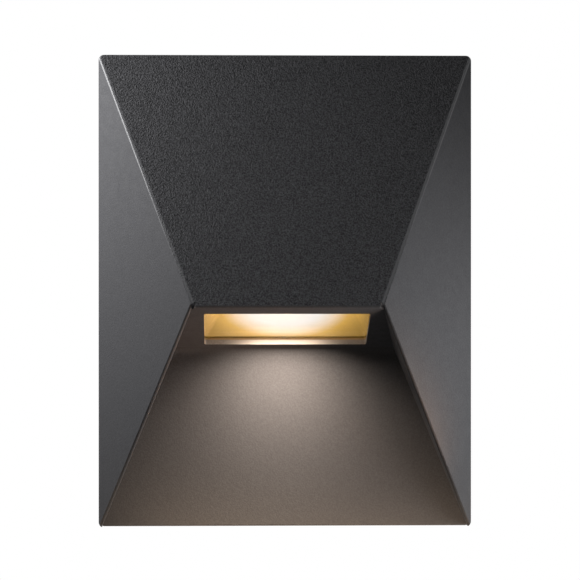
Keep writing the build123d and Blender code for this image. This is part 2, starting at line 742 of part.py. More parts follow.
def driver_components():
    """Connectors, transformer and capacitors standing on the driver's board."""
    half = CONNECTOR_WIDTH / 2
    depths = (driver_board_y, driver_board_y + CONNECTOR_DEPTH)
    heights = (connector_bottom, connector_bottom + CONNECTOR_HEIGHT)
    upper = (connector_bottom + CONNECTOR_HEIGHT + driver_top) / 2 - DRIVER_WALL
    core = block(
        (driver_x - TRANSFORMER_SIZE / 2, driver_x + TRANSFORMER_SIZE / 2),
        (driver_board_y, driver_board_y + TRANSFORMER_DEPTH),
        (upper - TRANSFORMER_SIZE / 2, upper + TRANSFORMER_SIZE / 2),
    )
    parts = [core]
    for x in (mains_x, output_x):
        parts.append(block((x - half, x + half), depths, heights))
        foot = Vector(x, driver_board_y, upper)
        can = rod(CAPACITOR_RADIUS, foot, foot + Vector(0, CAPACITOR_DEPTH, 0))
        parts.append(fillet(can.edges().sort_by(Axis.Y)[-1:], CAPACITOR_RADIUS / 6))
    return Compound(children=parts)


def lug_screws(points, z, front):
    """One screw through each lug of a case into its boss."""
    level = LUG_THICKNESS - front
    return Compound(children=[facing_wall(x, level, z, m3_screw(LUG_THICKNESS)) for x in points])


def terminal_block():
    """The terminal block with a pocket for each pole."""
    low = terminal_x - terminal_width / 2
    high = terminal_x + terminal_width / 2
    form = case((low, high), (-terminal_front, button_y), (terminal_bottom, terminal_top))
    for x, side in zip(terminal_lugs, (low, high)):
        form += lug(x, side, terminal_z, terminal_front)
    half = (POLE_PITCH - TERMINAL_WALL) / 2
    heights = (terminal_z - POCKET_HEIGHT / 2, terminal_z + POCKET_HEIGHT / 2)
    for x in poles:
        form -= block((x - half, x + half), (pocket_y, 0), heights)
        form -= rod(LEAD_RADIUS + LEAD_CLEARANCE, (x, lead_y, terminal_bottom), (x, lead_y, terminal_z))
        form -= rod(SUPPLY_HOLE_RADIUS, (x, lead_y, terminal_z), (x, lead_y, terminal_top))
    return form


def terminal_cover():
    """The cover over the pockets, with a square hole for each button."""
    form = case_lid(
        (terminal_x - terminal_width / 2, terminal_x + terminal_width / 2),
        (button_y, -bay_back),
        (terminal_bottom, terminal_top),
    )
    side = BUTTON_SIZE + 2 * BUTTON_CLEARANCE
    for x in poles:
        form -= Pos(x, button_y, terminal_z) * Box(side, 4 * TERMINAL_COVER, side)
    return form


def terminal_contacts():
    """A brass clamp at the bottom of each pocket."""
    half = (POLE_PITCH - TERMINAL_WALL) / 2 - CONTACT_CLEARANCE
    top = terminal_z + POCKET_HEIGHT / 2 - CONTACT_CLEARANCE
    front = pocket_y + CONTACT_DEPTH
    return Compound(
        children=[block((x - half, x + half), (pocket_y, front), (contact_bottom, top)) for x in poles]
    )


def terminal_button(x):
    """A release button, kept in by its flange behind the cover."""
    stem = Box(BUTTON_SIZE, BUTTON_SIZE, TERMINAL_COVER + BUTTON_PROUD, align=UP)
    stem = fillet(stem.faces().sort_by(Axis.Z)[-1].edges(), BUTTON_CLEARANCE)
    side = BUTTON_SIZE + 2 * BUTTON_FLANGE
    stem += Box(side, side, BUTTON_FLANGE_THICKNESS, align=DOWN)
    return facing_wall(x, button_y, terminal_z, stem)


def lead(points):
    """An insulated wire with round bends at the corners of its route."""
    route = FilletPolyline(*points, radius=LEAD_BEND)
    start = Vector(points[0])
    section = Plane(origin=start, z_dir=Vector(points[1]) - start) * Circle(LEAD_RADIUS)
    return sweep(section, path=route)


def mains_lead(start_x, end_x, dip):
    """A wire from a pole of the terminal block to the driver."""
    low = min(terminal_bottom, driver_bottom) - dip
    return lead(
        [
            (start_x, lead_y, contact_bottom),
            (start_x, lead_y, low),
            (end_x, lead_y, low),
            (end_x, lead_y, connector_bottom),
        ]
    )


def led_lead(start_x, u):
    """A wire from the driver to a pad on top of the light board."""
    pad = engine.from_local_coords((u, pad_v, spreader_level))
    above = pad + inward * LEAD_DROP
    return lead(
        [
            (start_x, lead_y, connector_bottom),
            (start_x, lead_y, driver_bottom - LEAD_DROP),
            (above.X, above.Y, above.Z),
            (pad.X, pad.Y, pad.Z),
        ]
    )


def earth_lead():
    """The wire from the third pole to the earth point."""
    top = barrel_z + BARREL_LENGTH
    return lead(
        [
            (poles[-1], lead_y, contact_bottom),
            (poles[-1], lead_y, terminal_bottom - LEAD_DROP / 2),
            (earth_x, lead_y, top + LEAD_DROP / 2),
            (earth_x, lead_y, top),
        ]
    )


def earth_ring_terminal():
    """A ring on the earth boss with the barrel that grips the wire."""
    form = rod(RING_RADIUS, (earth_x, earth_y, earth_z), (earth_x, earth_y + RING_THICKNESS, earth_z))
    neck = block(
        (earth_x - BARREL_RADIUS, earth_x + BARREL_RADIUS),
        (earth_y, earth_y + RING_THICKNESS),
        (earth_z, barrel_z + BARREL_RADIUS),
    )
    form += neck
    form += rod(BARREL_RADIUS, (earth_x, lead_y, barrel_z), (earth_x, lead_y, barrel_z + BARREL_LENGTH))
    hole = (earth_x, earth_y - BEYOND, earth_z)
    return form - rod(M3_RADIUS + SCREW_HOLE_CLEARANCE, hole, (earth_x, earth_y + BEYOND, earth_z))


def earth_washer():
    """The flat washer under the earth screw's head."""
    low = earth_y + RING_THICKNESS
    form = rod(WASHER_RADIUS, (earth_x, low, earth_z), (earth_x, low + WASHER_THICKNESS, earth_z))
    hole = (earth_x, earth_y, earth_z)
    return form - rod(M3_RADIUS + SCREW_HOLE_CLEARANCE, hole, (earth_x, earth_y + BEYOND, earth_z))


def earth_screw():
    """The screw of the earth point."""
    grip = RING_THICKNESS + WASHER_THICKNESS
    return facing_wall(earth_x, earth_y + grip, earth_z, m3_screw(grip))


pieces = {
    "housing": housing(),
    "rear_gasket": rear_gasket(),
    "wall_plate": wall_plate(),
    "cable_grommet": cable_grommet(),
    "fixing_screw_left": fixing_screw(-1),
    "fixing_screw_right": fixing_screw(1),
    "glass_seal": glass_seal(),
    "window_glass": window_glass(),
    "reflector": reflector(),
    "reflector_screws": reflector_screws(),
    "led_board": led_board(),
    "led_chips": led_chips(),
    "heat_spreader": heat_spreader(),
    "spreader_screws": spreader_screws(),
    "led_board_screws": led_board_screws(),
    "driver_base": driver_base(),
    "driver_lid": driver_lid(),
    "driver_board": driver_board(),
    "driver_components": driver_components(),
    "driver_screws": lug_screws(driver_lugs, driver_z, driver_front),
    "terminal_block": terminal_block(),
    "terminal_cover": terminal_cover(),
    "terminal_contacts": terminal_contacts(),
    "terminal_button_live": terminal_button(poles[0]),
    "terminal_button_neutral": terminal_button(poles[1]),
    "terminal_button_earth": terminal_button(poles[2]),
    "terminal_screws": lug_screws(terminal_lugs, terminal_z, terminal_front),
    "live_lead": mains_lead(poles[0], lead_pair(mains_x)[1], LEAD_DROP),
    "neutral_lead": mains_lead(poles[1], lead_pair(mains_x)[0], LEAD_DROP + LEAD_PITCH),
    "led_lead_positive": led_lead(lead_pair(output_x)[1], pad_u + PAD_PITCH),
    "led_lead_negative": led_lead(lead_pair(output_x)[0], pad_u),
    "earth_lead": earth_lead(),
    "earth_ring_terminal": earth_ring_terminal(),
    "earth_washer": earth_washer(),
    "earth_screw": earth_screw(),
}

os.makedirs("parts", exist_ok=True)
for name, piece in pieces.items():
    export_step(piece, f"parts/{name}.step")
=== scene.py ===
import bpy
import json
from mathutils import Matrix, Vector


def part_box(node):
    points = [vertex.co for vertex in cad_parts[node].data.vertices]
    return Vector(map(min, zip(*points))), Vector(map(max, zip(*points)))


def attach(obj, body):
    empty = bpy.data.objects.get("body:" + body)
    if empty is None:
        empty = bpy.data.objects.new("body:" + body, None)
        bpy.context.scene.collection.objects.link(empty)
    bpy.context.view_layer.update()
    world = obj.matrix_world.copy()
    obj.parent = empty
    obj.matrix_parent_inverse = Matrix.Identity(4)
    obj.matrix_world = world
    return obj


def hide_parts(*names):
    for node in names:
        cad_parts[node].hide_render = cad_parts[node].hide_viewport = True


bl_info = {
    "name": "Outdoor Wall Light Finish",
    "version": (1, 0, 0),
    "blender": (4, 5, 0),
    "location": "3D View > Sidebar > Wall Light",
    "description": "Gives an outdoor wall light its finishes, small fittings, light and studio",
    "category": "Object",
}

import json
import math

import bpy
from bpy.props import FloatProperty, FloatVectorProperty, PointerProperty
from bpy.types import NodeSocket, Operator, Panel, PropertyGroup
from mathutils import Matrix, Vector

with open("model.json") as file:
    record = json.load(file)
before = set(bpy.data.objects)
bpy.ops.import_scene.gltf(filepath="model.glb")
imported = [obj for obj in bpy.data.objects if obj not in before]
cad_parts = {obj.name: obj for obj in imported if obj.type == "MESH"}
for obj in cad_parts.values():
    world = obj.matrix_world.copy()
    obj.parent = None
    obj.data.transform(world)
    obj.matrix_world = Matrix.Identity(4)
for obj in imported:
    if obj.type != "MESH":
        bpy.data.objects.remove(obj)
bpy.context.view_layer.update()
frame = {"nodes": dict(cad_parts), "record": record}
cad_nodes = frame["nodes"]
record_colours = {entry["slot"]: entry["base_color"][:3] for entry in frame["record"]["materials"]}

# The photograph's frame, from which the camera's lens follows
PHOTO_SIDE = 580
FOCAL_PIXELS = 2460.0
SENSOR_WIDTH = 36.0

# Colour of the surroundings and of plain lamps
WHITE = (1.0, 1.0, 1.0)

# Middle of the values that a noise gives
NOISE_MIDDLE = 0.5

# How much paler the paint is along the hips, a painted highlight, and how glossy its coat is there
HIP_HIGHLIGHT_PALENESS = 1.5
HIP_GLOSS = 0.6

# Depth of a texture's relief, in shares of its grain
RUBBER_RELIEF = 0.2
MOULD_RELIEF = 0.08

# Edges that turn by less than this are shaded smooth
SMOOTH_ANGLE = math.radians(40)

# How squarely a face has to look along an axis to be picked
SQUARE_ON = 0.99

# Decimals to which corners, in metres, and the facings of faces are told apart
CORNER_DECIMALS = 5
FACING_DECIMALS = 3


def tint_property(label, description, default):
    """A colour."""
    return FloatVectorProperty(
        name=label, description=description, subtype="COLOR", size=3, min=0.0, max=1.0, default=default
    )


def colour_property(slot, label):
    """A colour whose default is the record's colour of a material slot."""
    return tint_property(label, f"Main colour of {label.lower()}", record_colours[slot])


def length_property(label, description, default):
    """A length in metres."""
    return FloatProperty(name=label, description=description, default=default, min=0.0, unit="LENGTH")


def power_property(label, description, default):
    """A lamp's power in watts."""
    return FloatProperty(name=label, description=description, default=default, min=0.0, unit="POWER")


def place_property(label, description, default):
    """A place in the frame, in metres."""
    return FloatVectorProperty(
        name=label, description=description, subtype="TRANSLATION", default=default
    )


def share_property(label, description, default):
    """A share from none to all."""
    return FloatProperty(
        name=label, description=description, subtype="FACTOR", min=0.0, max=1.0, default=default
    )


def angle_property(label, description, degrees):
    """An angle, given in degrees."""
    default = math.radians(degrees)
    return FloatProperty(name=label, description=description, default=default, subtype="ANGLE")


def span_property(label, description, default):
    """A width and a length in metres."""
    return FloatVectorProperty(
        name=label, description=description, size=2, unit="LENGTH", default=default
    )


class WallLightColours(PropertyGroup):
    """Colours of the finishes"""

    paint: colour_property("powder_coat", "Powder coat")
    rubber: colour_property("rubber", "Rubber")
    zinc: colour_property("galvanised_steel", "Zinc coat")
    stainless: colour_property("stainless_steel", "Stainless steel")
    glass: colour_property("clear_glass", "Clear glass")
    gold: colour_property("gold_reflector", "Gold reflector")
    board_white: colour_property("white_board", "White light board")
    phosphor: colour_property("light_chip", "Light chip")
    aluminium: colour_property("bare_aluminium", "Bare aluminium")
    case_white: colour_property("white_plastic", "White plastic")
    board_green: colour_property("green_board", "Green circuit board")
    black: colour_property("black_plastic", "Black plastic")
    grey: colour_property("grey_plastic", "Grey plastic")
    orange: colour_property("orange_plastic", "Orange plastic")
    brass: colour_property("brass", "Brass")
    tin: colour_property("tinned_brass", "Tinned brass")
    brown_wire: colour_property("brown_insulation", "Brown insulation")
    blue_wire: colour_property("blue_insulation", "Blue insulation")
    earth_wire: colour_property("green_insulation", "Green insulation")
    red_wire: colour_property("red_insulation", "Red insulation")
    black_wire: colour_property("black_insulation", "Black insulation")
    # The cut's bare metal carries painted light in powder_coat, strongest at its middle
    cut_edge: tint_property("Cut edge", "Bare casting in the window's cut", (0.34, 0.31, 0.28))
    weathered: tint_property("Weathered steel", "Dulled steel of the fixing screws", (0.17, 0.17, 0.18))
    # The seal's amber is partly its own tint and partly painted light, standing for the reflector's gold
    # light along the glass
    silicone: tint_property("Silicone", "Amber silicone of the glass's seal", (0.20, 0.13, 0.06))
    earth_stripe: tint_property("Earth stripe", "Stripe along the earth wire", (0.78, 0.62, 0.03))
    glow: tint_property("Light", "Colour of the light that the chips give", (1.0, 0.78, 0.58))


class WallLightSizes(PropertyGroup):
    """Sizes of textures and small fittings"""

    paint_grain: length_property("Paint grain", "Width of a grain of the powder coat", 0.0006)
    paint_patch: length_property("Paint patch", "Width of a duller patch of the powder coat", 0.0036)
    # The line along a hip is glossier, and also paler as a painted highlight
    hip_edge: length_property("Hip edge", "How far the glossier line reaches from a hip", 0.0008)
    hip_core: length_property("Hip core", "How far that line's full gloss reaches", 0.00048)
    foam_grain: length_property("Foam grain", "Width of a pore in the foam gasket", 0.0009)
    silicone_grain: length_property("Silicone grain", "Width of the seal's texture", 0.0006)
    rubber_grain: length_property("Rubber grain", "Width of the grommet's texture", 0.0004)
    zinc_spangle: length_property("Zinc spangle", "Width of a crystal of the zinc coat", 0.006)
    zinc_streak: length_property("Zinc streak", "Width of a streak in the zinc coat", 0.0009)
    zinc_relief: length_property("Zinc relief", "Depth of the zinc coat's streaks", 0.00004)
    tool_mark: length_property("Tool mark", "Width of a tool mark on turned metal", 0.0006)
    wire_mark: length_property("Wire mark", "Width of a handling mark on a lead", 0.0015)
    mark_relief: length_property("Mark relief", "Depth of the marks on metal and leads", 0.00002)
    glass_haze: length_property("Glass haze", "Width of a cloud of haze on the glass", 0.004)
    peen: length_property("Peening", "Width of a dimple in the reflector", 0.0012)
    peen_relief: length_property("Peening relief", "Depth of the reflector's dimples", 0.00008)
    light_track: length_property("Light board track", "Width of the light board's tracks", 0.004)
    driver_track: length_property("Driver track", "Width of the driver board's tracks", 0.002)
    track_relief: length_property("Track relief", "Height of a board's tracks", 0.00003)
    phosphor_grain: length_property("Phosphor grain", "Width of a grain of a chip's fill", 0.0003)
    mould_grain: length_property("Mould grain", "Width of the texture on moulded plastic", 0.0004)
    mould_cloud: length_property("Mould cloud", "Width of a paler cloud in moulded plastic", 0.012)
    package_bevel: length_property("Package edge", "Rounding of a light chip's edges", 0.00012)
    package_rim: length_property("Package rim", "Width of a light chip's rim", 0.00035)
    package_cavity: length_property("Package cavity", "Depth of the well in a light chip", 0.00025)
    fill_rise: length_property("Fill rise", "How far the fill rises at its middle", 0.00015)
    rib_height: length_property("Lid rib height", "How far the driver lid's ribs stand out", 0.0006)
    rib_width: length_property("Lid rib width", "Width of a rib on the driver's lid", 0.0012)
    rib_pitch: length_property("Lid rib pitch", "Distance from rib to rib", 0.0035)
    rib_rounding: length_property("Lid rib rounding", "Rounding of a rib's edges", 0.00024)
    rib_cover: share_property("Lid rib cover", "Part of the driver's lid that its ribs cover", 0.78)
    collar_gap: length_property("Collar gap", "Space between a button and its collar", 0.0003)
    collar_width: length_property("Collar width", "Width of a button collar's wall", 0.0009)
    collar_height: length_property("Collar height", "How far a button collar stands out", 0.0005)
    collar_rounding: length_property("Collar rounding", "Rounding of a collar's edges", 0.000125)
    cut_share: share_property("Cut share", "Part of the window's wall that is cut metal", 0.97)


class WallLightGlow(PropertyGroup):
    """The reflector's painted glow and hot spot, and the light's own lamps

    They are placed from the middle of the glass: x across, y to the front, z outwards.
    """

    # The reflector's glow is painted light, given off by its own material
    painted_glow_place: place_property("Hot spot", "Middle of the reflector's hot spot", (0.0002, 0.0, -0.0098))
    painted_glow_reach: place_property("Hot reach", "How far the hot spot reaches", (0.0398, 0.05, 0.0148))
    painted_glow_white: tint_property("Hot colour", "Colour of the hot spot", (0.90, 0.93, 1.0))
    # Painted glow: the gold that the reflector's inside gives off round the hot spot
    painted_glow_gold: tint_property("Warm colour", "Colour of the reflector round it", (1.0, 0.55, 0.08))
    chip_place: place_property("Chip lamp", "Place of the reflector's lamp", (-0.0016, 0.0055, -0.0121))
    chip_turn: angle_property("Chip turn", "Turn of the lamp in the reflector", -105)
    chip_beam: angle_property("Chip beam", "Spread of the lamp in the reflector", 180)
    chip_span: span_property("Chip span", "Size of the lamp in the reflector", (0.014, 0.005))
    chip_power: power_property("Chip power", "Power of the lamp in the reflector", 0.013)
    chip_colour: tint_property("Chip colour", "Colour of the lamp in the reflector", (1.0, 0.86, 0.74))
    window_place: place_property("Window lamp", "Place of the window's lamp", (-0.0016, 0.0045, 0.0027))
    window_turn: angle_property("Window turn", "Turn of the lamp in the window", -146)
    window_beam: angle_property("Window beam", "Spread of the lamp in the window", 116)
    window_span: span_property("Window span", "Size of the lamp in the window", (0.026, 0.004))
    window_power: power_property("Window power", "Power of the lamp in the window", 0.111)
    window_colour: tint_property("Window colour", "Colour of the lamp in the window", (1.0, 0.83, 0.68))


class WallLightStudio(PropertyGroup):
    """Camera, lamps and floor"""

    camera_place: place_property("Camera", "Where the camera stands", (-0.026, -1.0, 0.004))
    camera_aim: place_property("Aim", "Point that the camera looks at", (0.0022, 0.0, 0.00045))
    left_place: place_property("Left lamp", "Where the left lamp stands", (-0.213, -0.038, 0.125))
    left_aim: place_property("Left aim", "Point that the left lamp looks at", (0.0, 0.0, 0.0))
    left_span: span_property("Left span", "Size of the left lamp", (0.15, 0.15))
    left_beam: angle_property("Left beam", "Spread of the left lamp", 180)
    left_power: power_property("Left power", "Power of the left lamp", 1.2)
    left_colour: tint_property("Left colour", "Colour of the left lamp", WHITE)
    right_place: place_property("Right lamp", "Where the right lamp stands", (0.195, -0.055, -0.075))
    right_aim: place_property("Right aim", "Point that the right lamp looks at", (0.065, -0.025, -0.03))
    right_span: span_property("Right span", "Size of the right lamp", (0.15, 0.15))
    right_beam: angle_property("Right beam", "Spread of the right lamp", 75)
    right_power: power_property("Right power", "Power of the right lamp", 0.152)
    right_colour: tint_property("Right colour", "Colour of the right lamp", WHITE)
    bounce_place: place_property("Bounce lamp", "Where the lamp below lies", (0.012, -0.05, -0.13))
    bounce_aim: place_property("Bounce aim", "Point that the lamp below looks at", (0.006, 0.0, -0.10))
    bounce_span: span_property("Bounce span", "Size of the lamp below", (0.14, 0.01))
    bounce_beam: angle_property("Bounce beam", "Spread of the lamp below", 80)
    bounce_power: power_property("Bounce power", "Power of the lamp below", 0.048)
    bounce_colour: tint_property("Bounce colour", "Colour of the lamp below", (1.0, 0.72, 0.48))
    fill_place: place_property("Fill lamp", "Where the fill lamp stands", (0.12, -0.06, -0.10))
    fill_aim: place_property("Fill aim", "Point that the fill lamp looks at", (-0.025, -0.03, -0.02))
    fill_span: span_property("Fill span", "Size of the fill lamp", (0.03, 0.03))
    fill_beam: angle_property("Fill beam", "Spread of the fill lamp", 40)
    fill_power: power_property("Fill power", "Power of the fill lamp", 0.0155)
    fill_colour: tint_property("Fill colour", "Colour of the fill lamp", (1.0, 0.54, 0.28))
    ambient: share_property("Ambient", "Strength of the surroundings as a light", 0.06)
    floor_drop: length_property("Floor drop", "Distance from the light's middle to the floor", 0.62)
    floor_radius: length_property("Floor radius", "Half the side of the floor", 0.75)
    floor_mottle: length_property("Floor mottle", "Width of a cloud on the floor", 0.02)
    floor_colour: tint_property("Floor colour", "Main colour of the floor", (0.8, 0.8, 0.79))
    floor_lift: share_property("Floor lift", "How much paler the camera sees the floor", 0.6)
    fade_start: share_property("Fade start", "Part of the radius where the floor starts to fade", 0.4)
    fade_end: share_property("Fade end", "Part of the radius where the floor is gone", 0.95)


class Finish:
    """A material being made, with short ways to add nodes and join them."""

    def __init__(self, name):
        self.material = bpy.data.materials.new(name)
        self.material.use_nodes = True
        self.tree = self.material.node_tree
        self.shader = self.tree.nodes["Principled BSDF"]
        coordinates = self.add("ShaderNodeTexCoord")
        self.place = coordinates.outputs["Object"]
        self.facing = coordinates.outputs["Normal"]

    def add(self, kind, inputs=None, **settings):
        """A new node with some of its settings and inputs."""
        node = self.tree.nodes.new(kind)
        for name, value in settings.items():
            setattr(node, name, value)
        for name, value in (inputs or {}).items():
            self.feed(node.inputs[name], value)
        return node

    def feed(self, target, value):
        """Gives an input the output of a node, or a number, place or colour that is the same all over."""
        if isinstance(value, NodeSocket):
            self.tree.links.new(value, target)
        elif target.type == "RGBA":
            target.default_value = (*value, 1.0)
        else:
            target.default_value = value

    def set(self, **values):
        """Feeds inputs of the main shader, named with _ in place of spaces."""
        for name, value in values.items():
            self.feed(self.shader.inputs[name.replace("_", " ")], value)

    def math(self, operation, *values):
        """The result of a sum on numbers."""
        return self.add("ShaderNodeMath", dict(enumerate(values)), operation=operation).outputs["Value"]

    def vector(self, operation, *values):
        """The result of a sum on vectors: a number for a length or a dot product, or else a vector."""
        node = self.add("ShaderNodeVectorMath", dict(enumerate(values)), operation=operation)
        return node.outputs["Value" if operation in ("LENGTH", "DOT_PRODUCT") else "Vector"]

    def parts(self, vector):
        """The X, Y and Z of a vector."""
        return self.add("ShaderNodeSeparateXYZ", {"Vector": vector}).outputs

    def stretched(self, scale):
        """Object coordinates stretched by a factor along each axis."""
        return self.add("ShaderNodeMapping", {"Vector": self.place, "Scale": scale}).outputs["Vector"]

    def zone(self, placed, reach):
        """Object coordinates seen from a frame, in shares of a reach along each of its axes."""
        inputs = {"Location": placed.translation, "Rotation": placed.to_euler(), "Scale": reach}
        inputs["Vector"] = self.place
        return self.add("ShaderNodeMapping", inputs, vector_type="TEXTURE").outputs["Vector"]

    def shares(self, placed, reach):
        """Distances from a frame's origin along its axes, in shares of a reach."""
        return self.parts(self.vector("ABSOLUTE", self.zone(placed, reach)))

    def within(self, shares):
        """One inside the box that the shares' reach spans, and none outside it."""
        widest = self.math("MAXIMUM", shares["X"], shares["Y"])
        return self.math("LESS_THAN", self.math("MAXIMUM", widest, shares["Z"]), 1.0)

    def noise(self, size, detail=2.0, vector=None):
        """Soft noise whose lumps are about this wide."""
        inputs = {"Scale": 1.0 / size, "Detail": detail, "Vector": vector or self.place}
        return self.add("ShaderNodeTexNoise", inputs).outputs["Fac"]

    def cells(self, size):
        """A cell pattern whose cells are about this wide."""
        return self.add("ShaderNodeTexVoronoi", {"Scale": 1.0 / size, "Vector": self.place}).outputs

    def spread(self, factor, low, high, start=0.3, end=0.7, kind="LINEAR"):
        """A factor between a start and an end brought to the range from low to high."""
        inputs = {"Value": factor, "From Min": start, "From Max": end, "To Min": low, "To Max": high}
        return self.add("ShaderNodeMapRange", inputs, interpolation_type=kind).outputs["Result"]

    def mix(self, factor, first, second):
        """A colour between two colours."""
        inputs = {"Factor": factor, "A": first, "B": second}
        return self.add("ShaderNodeMix", inputs, data_type="RGBA").outputs["Result"]

    def tone(self, factor, colour, darker, lighter):
        """A colour between a darker and a lighter tone of a colour."""
        low = [channel * darker for channel in colour]
        high = [min(1.0, channel * lighter) for channel in colour]
        return self.mix(factor, low, high)

    def shade(self, factor, colour, darker, lighter):
        """Drives the base colour between a darker and a lighter tone."""
        self.set(Base_Color=self.tone(factor, colour, darker, lighter))

    def rough(self, factor, smooth, dull):
        """Drives the roughness between two values."""
        self.set(Roughness=self.spread(factor, smooth, dull))

    def bump(self, height, depth, strength=1.0):
        """Raises the surface by a height, up to a depth in metres."""
        inputs = {"Height": height, "Distance": depth, "Strength": strength}
        self.set(Normal=self.add("ShaderNodeBump", inputs).outputs["Normal"])

    def line_distance(self, start, end):
        """Distance from a line, and from its mirror image at the other side of the object."""
        parts = self.parts(self.place)
        sides = {"X": self.math("ABSOLUTE", parts["X"]), "Y": parts["Y"], "Z": parts["Z"]}
        mirrored = self.add("ShaderNodeCombineXYZ", sides).outputs["Vector"]
        offset = self.vector("SUBTRACT", mirrored, start)
        across = self.vector("CROSS_PRODUCT", offset, (end - start).normalized())
        return self.vector("LENGTH", across)

    def faces_point(self, point):
        """One where the surface looks towards a point, and none where it looks away."""
        towards = self.vector("DOT_PRODUCT", self.vector("SUBTRACT", point, self.place), self.facing)
        return self.math("GREATER_THAN", towards, 0.0)


def powder_coat(colour, metal, sizes, hip, cut):
    """Fine-textured paint, coarser on top, glossier along the hips and paler there as a painted
    highlight.

    The window's cut is bare metal, with painted light that is strongest at its middle and fades into the
    paint towards its ends.
    """
    painted_hip_highlight = [channel * HIP_HIGHLIGHT_PALENESS for channel in colour]
    finish = Finish("powder_coat")
    fine = finish.noise(sizes.paint_grain)
    upward = finish.parts(finish.facing)["Z"]
    contrast = finish.spread(upward, low=0.5, high=2.6, start=0.1, end=0.3)
    grains = finish.math("SUBTRACT", fine, NOISE_MIDDLE)
    speckle = finish.math("MULTIPLY_ADD", grains, contrast, NOISE_MIDDLE)
    paint = finish.tone(speckle, colour, darker=0.4, lighter=1.6)
    from_hip = finish.line_distance(*hip)
    on_hip = finish.spread(from_hip, low=1.0, high=0.0, start=sizes.hip_core, end=sizes.hip_edge)
    shares = finish.shares(*cut)
    bare = finish.within(shares)
    # Painted light: the bare metal gives way to paint towards the cut's ends, as if the chips lit only
    # its middle
    painted_light_falloff = finish.spread(shares["X"], low=1.0, high=0.35, start=0.35, end=0.7)
    # Painted highlight: the paint turns paler along the hips
    coat = finish.mix(on_hip, paint, painted_hip_highlight)
    finish.set(Base_Color=finish.mix(finish.math("MULTIPLY", bare, painted_light_falloff), coat, metal))
    finish.rough(finish.noise(sizes.paint_patch, detail=1.0), smooth=0.60, dull=0.72)
    finish.set(Specular_IOR_Level=0.08, Coat_Roughness=0.36)
    finish.set(Coat_Weight=finish.math("MULTIPLY", on_hip, HIP_GLOSS))
    coated = finish.math("SUBTRACT", 1.0, bare)
    coarseness = finish.spread(upward, low=0.12, high=1.0, start=0.1, end=0.3)
    finish.bump(fine, sizes.paint_grain, finish.math("MULTIPLY", coated, coarseness))
    return finish.material


def soft_rubber(name, colour, grain):
    """Closed-cell rubber with a dull, dusty skin."""
    finish = Finish(name)
    pores = finish.noise(grain, detail=4.0)
    finish.shade(pores, colour, darker=0.7, lighter=1.5)
    finish.rough(pores, smooth=0.70, dull=0.88)
    finish.set(Specular_IOR_Level=0.3)
    finish.bump(pores, grain * RUBBER_RELIEF)
    return finish.material


def zinc_coat(colour, sizes):
    """Hot-dipped zinc: crystals that shine each in their own way."""
    crystal_share = 0.6
    finish = Finish("galvanised_steel")
    crystal = finish.cells(sizes.zinc_spangle)["Color"]
    channels = finish.add("ShaderNodeSeparateColor", {"Color": crystal}).outputs
    streak = finish.noise(sizes.zinc_streak, detail=5.0)
    blend = finish.math("MULTIPLY_ADD", channels["Red"], crystal_share, streak)
    brightness = finish.spread(blend, low=0.0, high=1.0, start=0.3, end=1.2)
    finish.shade(brightness, colour, darker=0.66, lighter=0.92)
    finish.rough(channels["Green"], smooth=0.32, dull=0.52)
    finish.set(Metallic=1.0)
    finish.bump(streak, sizes.zinc_relief)
    return finish.material


def turned_metal(name, colour, sizes, smooth, dull, stretch):
    """Metal with fine tool marks, drawn out by a stretch along each axis."""
    finish = Finish(name)
    marks = finish.noise(sizes.tool_mark, detail=3.0, vector=finish.stretched(stretch))
    finish.shade(marks, colour, darker=0.82, lighter=1.1)
    finish.rough(marks, smooth, dull)
    finish.set(Metallic=1.0)
    finish.bump(marks, sizes.mark_relief)
    return finish.material


def clear_glass(colour, haze):
    """A clear pane that lets lamps shine through it, with a faint haze."""
    finish = Finish("clear_glass")
    finish.set(Base_Color=colour, Transmission_Weight=1.0, IOR=1.5)
    finish.rough(finish.noise(haze, detail=3.0), smooth=0.0, dull=0.02)
    rays = finish.add("ShaderNodeLightPath").outputs
    soft = finish.math("MAXIMUM", rays["Is Shadow Ray"], rays["Is Diffuse Ray"])
    clear = finish.add("ShaderNodeBsdfTransparent").outputs["BSDF"]
    both = finish.add("ShaderNodeMixShader", {"Fac": soft, 1: finish.shader.outputs["BSDF"], 2: clear})
    finish.feed(finish.tree.nodes["Material Output"].inputs["Surface"], both.outputs["Shader"])
    return finish.material


def gold_reflector(colour, sizes, warm, hot, spot):
    """Satin anodised sheet with a fine peened texture and a dark base, whose glow is painted light: gold
    all over its inside and white hot where the chips' light falls.
    """
    finish = Finish("gold_reflector")
    peen = finish.noise(sizes.peen)
    finish.shade(peen, colour, darker=0.24, lighter=0.30)
    finish.rough(peen, smooth=0.4, dull=0.5)
    finish.set(Metallic=0.1, Specular_IOR_Level=0.1)
    finish.bump(peen, sizes.peen_relief)
    # Painted light: the inside glows gold, and white at the spot where the chips' light falls
    distance = finish.vector("LENGTH", finish.zone(*spot))
    painted_glow = finish.spread(distance, low=1.0, high=0.0, start=0.3, end=1.0, kind="SMOOTHSTEP")
    whiteness = finish.spread(painted_glow, low=0.0, high=1.0, start=0.4, end=0.92)
    strength = finish.spread(painted_glow, low=0.3, high=1.0, start=0.0, end=0.65)
    inside = finish.faces_point(spot[0].translation)
    finish.set(Emission_Color=finish.mix(whiteness, warm, hot))
    finish.set(Emission_Strength=finish.math("MULTIPLY", inside, strength))
    return finish.material


def moulded_plastic(name, colour, sizes, smooth, dull):
    """Moulded plastic with a fine sparked texture."""
    finish = Finish(name)
    spark = finish.noise(sizes.mould_grain)
    finish.shade(finish.noise(sizes.mould_cloud), colour, darker=0.92, lighter=1.05)
    finish.rough(spark, smooth, dull)
    finish.bump(spark, sizes.mould_grain * MOULD_RELIEF)
    return finish.material


